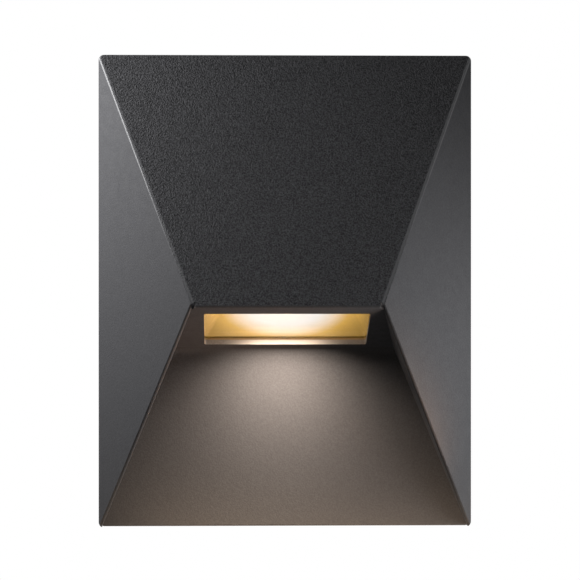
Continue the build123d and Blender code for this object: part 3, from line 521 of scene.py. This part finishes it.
def circuit_board(name, colour, track, relief):
    """Solder mask over copper tracks, which show as paler raised cells."""
    finish = Finish(name)
    tracks = finish.cells(track)["Distance"]
    copper = finish.spread(tracks, low=0.0, high=1.0, start=0.35, end=0.45)
    finish.shade(copper, colour, darker=0.85, lighter=1.2)
    finish.rough(finish.noise(track), smooth=0.28, dull=0.42)
    finish.bump(tracks, relief)
    return finish.material


def glowing_phosphor(colour, glow, grain):
    """The lit fill of a light chip, a little uneven from grain to grain."""
    finish = Finish("light_chip")
    grains = finish.noise(grain)
    finish.shade(grains, colour, darker=0.85, lighter=1.1)
    finish.rough(grains, smooth=0.5, dull=0.7)
    finish.set(Emission_Color=glow, Emission_Strength=finish.spread(grains, low=5.0, high=8.0))
    return finish.material


def insulation(name, sizes):
    """Extruded insulation with a slight sheen, and its faint handling marks, before it has a colour."""
    finish = Finish(name)
    marks = finish.noise(sizes.wire_mark, detail=3.0)
    finish.rough(marks, smooth=0.32, dull=0.48)
    finish.bump(marks, sizes.mark_relief)
    return finish, marks


def plain_insulation(name, colour, sizes):
    """Insulation of one colour."""
    finish, marks = insulation(name, sizes)
    finish.shade(marks, colour, darker=0.85, lighter=1.1)
    return finish.material


def striped_insulation(name, colour, stripe, sizes, middle, quarter):
    """Insulation with a stripe, wavering a little, along the side that looks at the wall."""
    finish, marks = insulation(name, sizes)
    waver = quarter / 4
    height = finish.math("ADD", finish.parts(finish.place)["Y"], finish.spread(marks, -waver, waver))
    start = middle + quarter
    band = finish.spread(height, low=0.0, high=1.0, start=start, end=start + waver)
    finish.set(Base_Color=finish.mix(band, colour, stripe))
    return finish.material


def dress(material, *names):
    """Gives CAD nodes a finish in place of their plain colour."""
    for name in names:
        for slot in cad_nodes[name].material_slots:
            slot.link = "OBJECT"
            slot.material = material


def node_corners(name):
    """Corners of a CAD node's mesh."""
    return [vertex.co for vertex in cad_nodes[name].data.vertices]


def node_centre(name):
    """Middle of a CAD node's box."""
    low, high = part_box(name)
    return (low + high) / 2


def extent(corners, axis):
    """How far corners reach along an axis, from the lowest to the highest."""
    places = [corner[axis] for corner in corners]
    return max(places) - min(places)


def main_facing(name):
    """The way that the largest flat faces of a CAD node look, pointing down."""
    areas = {}
    for polygon in cad_nodes[name].data.polygons:
        key = tuple(round(value, FACING_DECIMALS) for value in polygon.normal)
        areas[key] = areas.get(key, 0.0) + polygon.area
    normal = Vector(max(areas, key=areas.get)).normalized()
    return normal if normal.z < 0 else -normal


def light_frame(origin):
    """A frame at a point: x to the right, y to the front, z the way that the light goes."""
    outward = main_facing("window_glass")
    across = Vector((1, 0, 0))
    turn = Matrix((across, outward.cross(across), outward)).transposed().to_4x4()
    return Matrix.Translation(origin) @ turn


def seen_from(placed, corners):
    """Corners as they lie in a frame."""
    inverse = placed.inverted()
    return [inverse @ corner for corner in corners]


def start_cube(name, size, *materials):
    """A box round the origin as the start of a piece, alone in the selection and in edit mode."""
    bpy.ops.object.select_all(action="DESELECT")
    bpy.ops.mesh.primitive_cube_add(size=1.0, location=(0, 0, 0), scale=size)
    piece = bpy.context.active_object
    piece.name = name
    piece.data.name = name
    for material in materials:
        piece.data.materials.append(material)
    bpy.ops.object.transform_apply(location=True, rotation=True, scale=True)
    bpy.ops.object.mode_set(mode="EDIT")
    bpy.ops.mesh.select_all(action="SELECT")
    return piece


def pick_faces(piece, test):
    """Selects the faces whose normal passes a test, in edit mode."""
    bpy.ops.mesh.select_mode(type="FACE")
    bpy.ops.mesh.select_all(action="DESELECT")
    bpy.ops.object.mode_set(mode="OBJECT")
    for polygon in piece.data.polygons:
        polygon.select = test(polygon.normal)
    bpy.ops.object.mode_set(mode="EDIT")


def leave_edit():
    """Ends edit mode and shades the piece's soft edges smooth."""
    bpy.ops.object.mode_set(mode="OBJECT")
    bpy.ops.object.shade_smooth_by_angle(angle=SMOOTH_ANGLE)


def copies(piece, places):
    """One piece made of copies of a piece, each moved by an offset, in place of the first."""
    made = []
    for place in places:
        copy = piece.copy()
        copy.data = piece.data.copy()
        copy.data.transform(Matrix.Translation(place))
        bpy.context.collection.objects.link(copy)
        made.append(copy)
    name = piece.name
    bpy.data.objects.remove(piece)
    bpy.ops.object.select_all(action="DESELECT")
    for copy in made:
        copy.select_set(True)
    bpy.context.view_layer.objects.active = made[0]
    bpy.ops.object.join()
    made[0].name = name
    made[0].data.name = name
    return made[0]


def aim_at(viewer, place, aim):
    """Puts a camera or a lamp at a place, turned to look at a point."""
    look = Vector(aim) - Vector(place)
    viewer.location = place
    viewer.rotation_euler = look.to_track_quat("-Z", "Y").to_euler()


def area_lamp(name, group, kind):
    """A rectangular lamp that the camera doesn't see, with the values of its kind in a group."""
    span, beam, power, colour = (
        getattr(group, f"{kind}_{value}") for value in ("span", "beam", "power", "colour")
    )
    bpy.ops.object.light_add(type="AREA")
    lamp = bpy.context.active_object
    lamp.name = name
    lamp.visible_camera = False
    lamp.data.shape = "RECTANGLE"
    lamp.data.size, lamp.data.size_y = span
    lamp.data.spread = beam
    lamp.data.energy = power
    lamp.data.color = colour
    return lamp


class FinishOperator(Operator):
    """Base of the operators, which read the panel's values"""

    bl_options = {"REGISTER", "UNDO"}

    @property
    def colours(self):
        return bpy.context.scene.wall_light_colours

    @property
    def sizes(self):
        return bpy.context.scene.wall_light_sizes

    @property
    def glow(self):
        return bpy.context.scene.wall_light_glow

    @property
    def studio(self):
        return bpy.context.scene.wall_light_studio


class WALLLIGHT_OT_housing(FinishOperator):
    """Coat the cast housing"""

    bl_idname = "wall_light.housing"
    bl_label = "Coat housing"

    def execute(self, context):
        paint, metal = self.colours.paint, self.colours.cut_edge
        dress(powder_coat(paint, metal, self.sizes, self.hip(), self.window_cut()), "housing")
        return {"FINISHED"}

    def hip(self):
        """The two ends of the right hip, which runs from the top corner to the ridge's end."""
        low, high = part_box("housing")
        corners = node_corners("housing")
        near = self.sizes.hip_edge / 4
        rim = min(corner.y for corner in corners if corner.z > high.z - near)
        ridge = [corner for corner in corners if corner.y < low.y + near]
        return Vector((high.x, rim, high.z)), max(ridge, key=lambda corner: corner.x)

    def window_cut(self):
        """A frame in the middle of the window's cut through the wall, and how far the cut reaches."""
        glass = light_frame(node_centre("window_glass"))
        pane, seal, shell = (
            seen_from(glass, node_corners(name)) for name in ("window_glass", "glass_seal", "housing")
        )
        width, length = (max(corner[axis] for corner in pane) for axis in range(2))
        inner = max(corner.z for corner in seal)
        outer = max(corner.z for corner in shell if abs(corner.x) < width and abs(corner.y) < length)
        depth = (outer - inner) / 2
        middle = glass @ Matrix.Translation((0, 0, inner + depth))
        return middle, (width, length, depth * self.sizes.cut_share)


class WALLLIGHT_OT_seals(FinishOperator):
    """Finish the gasket, the glass seal and the cable grommet"""

    bl_idname = "wall_light.seals"
    bl_label = "Finish seals"

    def execute(self, context):
        rubber, silicone = self.colours.rubber, self.colours.silicone
        dress(soft_rubber("foam_rubber", rubber, self.sizes.foam_grain), "rear_gasket")
        # The glass seal's amber partly stands for the reflector's gold light, as painted light
        dress(soft_rubber("amber_silicone", silicone, self.sizes.silicone_grain), "glass_seal")
        dress(soft_rubber("moulded_rubber", rubber, self.sizes.rubber_grain), "cable_grommet")
        return {"FINISHED"}


class WALLLIGHT_OT_wall_plate(FinishOperator):
    """Finish the wall plate"""

    bl_idname = "wall_light.wall_plate"
    bl_label = "Finish wall plate"

    def execute(self, context):
        dress(zinc_coat(self.colours.zinc, self.sizes), "wall_plate")
        return {"FINISHED"}


class WALLLIGHT_OT_screws(FinishOperator):
    """Finish the screws, the earth ring and its washer"""

    bl_idname = "wall_light.screws"
    bl_label = "Finish screws"

    def execute(self, context):
        steel = self.metal("stainless_steel", "stainless", 0.22, 0.38, (1.0, 1.0, 6.0))
        dress(steel, "reflector_screws", "spreader_screws", "led_board_screws")
        dress(steel, "driver_screws", "terminal_screws", "earth_screw")
        dull = self.metal("weathered_steel", "weathered", 0.5, 0.65, (6.0, 1.0, 1.0))
        dress(dull, "fixing_screw_left", "fixing_screw_right")
        tin = self.metal("tinned_brass", "tin", 0.28, 0.42, (4.0, 1.0, 1.0))
        dress(tin, "earth_ring_terminal", "earth_washer")
        return {"FINISHED"}

    def metal(self, name, colour, smooth, dull, stretch):
        """Turned metal in one of the panel's colours."""
        return turned_metal(name, getattr(self.colours, colour), self.sizes, smooth, dull, stretch)


class WALLLIGHT_OT_light_engine(FinishOperator):
    """Finish the glass, the reflector, the light board and its heat spreader"""

    bl_idname = "wall_light.light_engine"
    bl_label = "Finish light engine"

    def execute(self, context):
        colours, sizes, glow = self.colours, self.sizes, self.glow
        dress(clear_glass(colours.glass, sizes.glass_haze), "window_glass")
        glass = light_frame(node_centre("window_glass"))
        spot = (glass @ Matrix.Translation(glow.painted_glow_place), glow.painted_glow_reach)
        gold = gold_reflector(colours.gold, sizes, glow.painted_glow_gold, glow.painted_glow_white, spot)
        dress(gold, "reflector")
        board = circuit_board("white_board", colours.board_white, sizes.light_track, sizes.track_relief)
        dress(board, "led_board")
        bar = turned_metal(
            "bare_aluminium", colours.aluminium, sizes, smooth=0.3, dull=0.45, stretch=(0.1, 1.0, 1.0)
        )
        dress(bar, "heat_spreader")
        return {"FINISHED"}


class WALLLIGHT_OT_light_chips(FinishOperator):
    """Model the light chips with their wells and their glowing fill"""

    bl_idname = "wall_light.light_chips"
    bl_label = "Model light chips"

    def execute(self, context):
        board = light_frame(node_centre("led_chips"))
        corners = seen_from(board, node_corners("led_chips"))
        columns = sorted({round(corner.x, CORNER_DECIMALS) for corner in corners})
        starts, ends = columns[::2], columns[1::2]
        length = ends[0] - starts[0]
        package = self.model_package((length, extent(corners, 1), extent(corners, 2)))
        chips = copies(package, [(start + length / 2, 0, 0) for start in starts])
        chips.data.transform(board)
        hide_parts("led_chips")
        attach(chips, "housing")
        return {"FINISHED"}

    def model_package(self, size):
        """One chip: a rounded body with a well, and a fill that rises at its middle."""
        sizes = self.sizes
        body = moulded_plastic("chip_body", self.colours.board_white, sizes, smooth=0.4, dull=0.55)
        fill = glowing_phosphor(self.colours.phosphor, self.colours.glow, sizes.phosphor_grain)
        package = start_cube("light_chips", size, body, fill)
        bpy.ops.mesh.bevel(offset=sizes.package_bevel, segments=2)
        pick_faces(package, lambda normal: normal.z > SQUARE_ON)
        bpy.ops.mesh.inset(thickness=sizes.package_rim)
        down = (0, 0, -sizes.package_cavity)
        bpy.ops.mesh.extrude_region_move(TRANSFORM_OT_translate={"value": down})
        bpy.ops.mesh.inset(thickness=sizes.package_bevel)
        package.active_material_index = 1
        bpy.ops.object.material_slot_assign()
        bpy.ops.mesh.poke(offset=sizes.fill_rise)
        leave_edit()
        return package


class WALLLIGHT_OT_glow(FinishOperator):
    """Put the light's own lamps in the reflector and the window"""

    bl_idname = "wall_light.glow"
    bl_label = "Light the chips"

    def execute(self, context):
        glass = light_frame(node_centre("window_glass"))
        for kind in ("chip", "window"):
            place = Matrix.Translation(getattr(self.glow, f"{kind}_place"))
            turn = Matrix.Rotation(getattr(self.glow, f"{kind}_turn"), 4, "X")
            lamp = area_lamp(f"{kind}_glow", self.glow, kind)
            lamp.matrix_world = glass @ place @ turn
            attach(lamp, "housing")
        return {"FINISHED"}


class WALLLIGHT_OT_driver(FinishOperator):
    """Finish the driver and model the ribs of its lid"""

    bl_idname = "wall_light.driver"
    bl_label = "Finish driver"

    def execute(self, context):
        colours, sizes = self.colours, self.sizes
        white = moulded_plastic("white_plastic", colours.case_white, sizes, smooth=0.42, dull=0.58)
        dress(white, "driver_base", "driver_lid")
        board = circuit_board("green_board", colours.board_green, sizes.driver_track, sizes.track_relief)
        dress(board, "driver_board")
        black = moulded_plastic("black_plastic", colours.black, sizes, smooth=0.35, dull=0.5)
        dress(black, "driver_components")
        ribs = self.model_ribs(white)
        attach(ribs, "housing")
        return {"FINISHED"}

    def model_ribs(self, plastic):
        """Ribs one above the other on the side of the lid that looks at the wall."""
        sizes = self.sizes
        low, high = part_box("driver_lid")
        covered = (high - low) * sizes.rib_cover
        size = (covered.x, sizes.rib_height, sizes.rib_width)
        rib = start_cube("driver_lid_ribs", size, plastic)
        bpy.ops.mesh.bevel(offset=sizes.rib_rounding, segments=3)
        leave_edit()
        count = int(covered.z / sizes.rib_pitch)
        centre = node_centre("driver_lid")
        centre.y = high.y + sizes.rib_height / 2
        heights = [(index - (count - 1) / 2) * sizes.rib_pitch for index in range(count)]
        return copies(rib, [centre + Vector((0, 0, height)) for height in heights])


class WALLLIGHT_OT_terminals(FinishOperator):
    """Finish the terminal block and model the collars round its buttons"""

    bl_idname = "wall_light.terminals"
    bl_label = "Finish terminals"

    def execute(self, context):
        colours, sizes = self.colours, self.sizes
        grey = moulded_plastic("grey_plastic", colours.grey, sizes, smooth=0.4, dull=0.55)
        dress(grey, "terminal_block", "terminal_cover")
        buttons = [f"terminal_button_{pole}" for pole in ("live", "neutral", "earth")]
        dress(moulded_plastic("orange_plastic", colours.orange, sizes, smooth=0.3, dull=0.42), *buttons)
        brass = turned_metal(
            "brass", colours.brass, sizes, smooth=0.25, dull=0.4, stretch=(1.0, 4.0, 1.0)
        )
        dress(brass, "terminal_contacts")
        collars = self.model_collars(grey, buttons)
        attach(collars, "housing")
        return {"FINISHED"}

    def model_collars(self, plastic, buttons):
        """Square collars on the cover, each round the stem of a button, which stands out to the wall."""
        sizes = self.sizes
        centres = [node_centre(button) for button in buttons]
        stem = [corner for corner in node_corners(buttons[0]) if corner.y > centres[0].y]
        outer = extent(stem, 0) + 2 * (sizes.collar_gap + sizes.collar_width)
        collar = start_cube("button_collars", (outer, sizes.collar_height, outer), plastic)
        pick_faces(collar, lambda normal: abs(normal.y) > SQUARE_ON)
        bpy.ops.mesh.inset(thickness=sizes.collar_width, use_individual=True)
        bpy.ops.mesh.bridge_edge_loops()
        bpy.ops.mesh.select_all(action="SELECT")
        bpy.ops.mesh.bevel(offset=sizes.collar_rounding, segments=2)
        leave_edit()
        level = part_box("terminal_cover")[1].y + sizes.collar_height / 2
        return copies(collar, [Vector((centre.x, level, centre.z)) for centre in centres])


class WALLLIGHT_OT_leads(FinishOperator):
    """Finish the leads inside the housing"""

    bl_idname = "wall_light.leads"
    bl_label = "Finish leads"

    def execute(self, context):
        colours, sizes = self.colours, self.sizes
        dress(plain_insulation("brown_insulation", colours.brown_wire, sizes), "live_lead")
        dress(plain_insulation("blue_insulation", colours.blue_wire, sizes), "neutral_lead")
        dress(plain_insulation("red_insulation", colours.red_wire, sizes), "led_lead_positive")
        dress(plain_insulation("black_insulation", colours.black_wire, sizes), "led_lead_negative")
        low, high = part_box("earth_lead")
        middle = (low.y + high.y) / 2
        quarter = (high.y - low.y) / 4
        wire = (colours.earth_wire, colours.earth_stripe)
        dress(striped_insulation("green_insulation", *wire, sizes, middle, quarter), "earth_lead")
        return {"FINISHED"}


class WALLLIGHT_OT_stage(FinishOperator):
    """Set up the camera, the lamps, the surroundings and the floor"""

    bl_idname = "wall_light.stage"
    bl_label = "Set up studio"

    def execute(self, context):
        self.add_camera(context)
        for kind in ("left", "right", "bounce", "fill"):
            place, aim = (getattr(self.studio, f"{kind}_{value}") for value in ("place", "aim"))
            aim_at(area_lamp(f"{kind}_lamp", self.studio, kind), place, aim)
        self.light_surroundings(context)
        self.lay_floor()
        context.scene.view_settings.view_transform = "Standard"
        return {"FINISHED"}

    def add_camera(self, context):
        """A camera with the photograph's view."""
        bpy.ops.object.camera_add()
        camera = bpy.context.active_object
        camera.name = "photo_camera"
        aim_at(camera, self.studio.camera_place, self.studio.camera_aim)
        camera.data.sensor_width = SENSOR_WIDTH
        camera.data.lens = FOCAL_PIXELS / PHOTO_SIDE * SENSOR_WIDTH
        context.scene.camera = camera

    def light_surroundings(self, context):
        """White surroundings for the camera, mirrors and glass, and a faint light for all else."""
        world = bpy.data.worlds.new("studio")
        context.scene.world = world
        world.use_nodes = True
        tree = world.node_tree
        background = tree.nodes["Background"]
        background.inputs["Color"].default_value = (*WHITE, 1.0)
        rays = tree.nodes.new("ShaderNodeLightPath")
        seen = rays.outputs["Is Camera Ray"]
        for ray in ("Is Glossy Ray", "Is Transmission Ray"):
            either = tree.nodes.new("ShaderNodeMath")
            either.operation = "MAXIMUM"
            tree.links.new(seen, either.inputs[0])
            tree.links.new(rays.outputs[ray], either.inputs[1])
            seen = either.outputs["Value"]
        strength = tree.nodes.new("ShaderNodeMapRange")
        strength.inputs["To Min"].default_value = self.studio.ambient
        tree.links.new(seen, strength.inputs["Value"])
        tree.links.new(strength.outputs["Result"], background.inputs["Strength"])

    def lay_floor(self):
        """A pale floor below the light, which fades into the surroundings."""
        radius = self.studio.floor_radius
        bpy.ops.object.select_all(action="DESELECT")
        bpy.ops.mesh.primitive_plane_add(size=2 * radius, location=(0, 0, -self.studio.floor_drop))
        floor = bpy.context.active_object
        floor.name = "studio_floor"
        bpy.ops.object.transform_apply(location=True, rotation=True, scale=True)
        floor.data.materials.append(self.pale_floor(radius))

    def pale_floor(self, radius):
        """Matt, faintly mottled floor, lifted towards white where it is seen."""
        finish = Finish("pale_floor")
        clouds = finish.noise(self.studio.floor_mottle, detail=3.0)
        finish.shade(clouds, self.studio.floor_colour, darker=0.98, lighter=1.02)
        finish.set(Roughness=0.7, Specular_IOR_Level=0.2, Emission_Color=WHITE)
        seen = finish.add("ShaderNodeLightPath").outputs["Is Camera Ray"]
        finish.set(Emission_Strength=finish.math("MULTIPLY", seen, self.studio.floor_lift))
        distance = finish.vector("LENGTH", finish.stretched((1.0, 1.0, 0.0)))
        start, end = radius * self.studio.fade_start, radius * self.studio.fade_end
        finish.set(Alpha=finish.spread(distance, low=1.0, high=0.0, start=start, end=end))
        return finish.material


steps = (
    WALLLIGHT_OT_housing,
    WALLLIGHT_OT_seals,
    WALLLIGHT_OT_wall_plate,
    WALLLIGHT_OT_screws,
    WALLLIGHT_OT_light_engine,
    WALLLIGHT_OT_light_chips,
    WALLLIGHT_OT_glow,
    WALLLIGHT_OT_driver,
    WALLLIGHT_OT_terminals,
    WALLLIGHT_OT_leads,
    WALLLIGHT_OT_stage,
)
groups = {
    "wall_light_colours": WallLightColours,
    "wall_light_sizes": WallLightSizes,
    "wall_light_glow": WallLightGlow,
    "wall_light_studio": WallLightStudio,
}


class WALLLIGHT_PT_panel(Panel):
    """Lists the steps and the values that they read"""

    bl_idname = "WALLLIGHT_PT_panel"
    bl_label = "Wall Light"
    bl_space_type = "VIEW_3D"
    bl_region_type = "UI"
    bl_category = "Wall Light"

    def draw(self, context):
        column = self.layout.column(align=True)
        for step in steps:
            column.operator(step.bl_idname)
        for group in groups:
            values = getattr(context.scene, group)
            box = self.layout.box()
            for name in values.bl_rna.properties.keys():
                if name not in ("rna_type", "name"):
                    box.prop(values, name)


def register():
    """Adds the classes, and the groups of values to the scene."""
    for group in groups.values():
        bpy.utils.register_class(group)
    for step in steps:
        bpy.utils.register_class(step)
    bpy.utils.register_class(WALLLIGHT_PT_panel)
    for name, group in groups.items():
        setattr(bpy.types.Scene, name, PointerProperty(type=group))


def unregister():
    """Takes away what register added."""
    for name in groups:
        delattr(bpy.types.Scene, name)
    bpy.utils.unregister_class(WALLLIGHT_PT_panel)
    for step in reversed(steps):
        bpy.utils.unregister_class(step)
    for group in groups.values():
        bpy.utils.unregister_class(group)


def main():
    """Makes the light and its studio."""
    register()
    for step in steps:
        module, name = step.bl_idname.split(".")
        getattr(getattr(bpy.ops, module), name)()


if __name__ == "__main__":
    main()
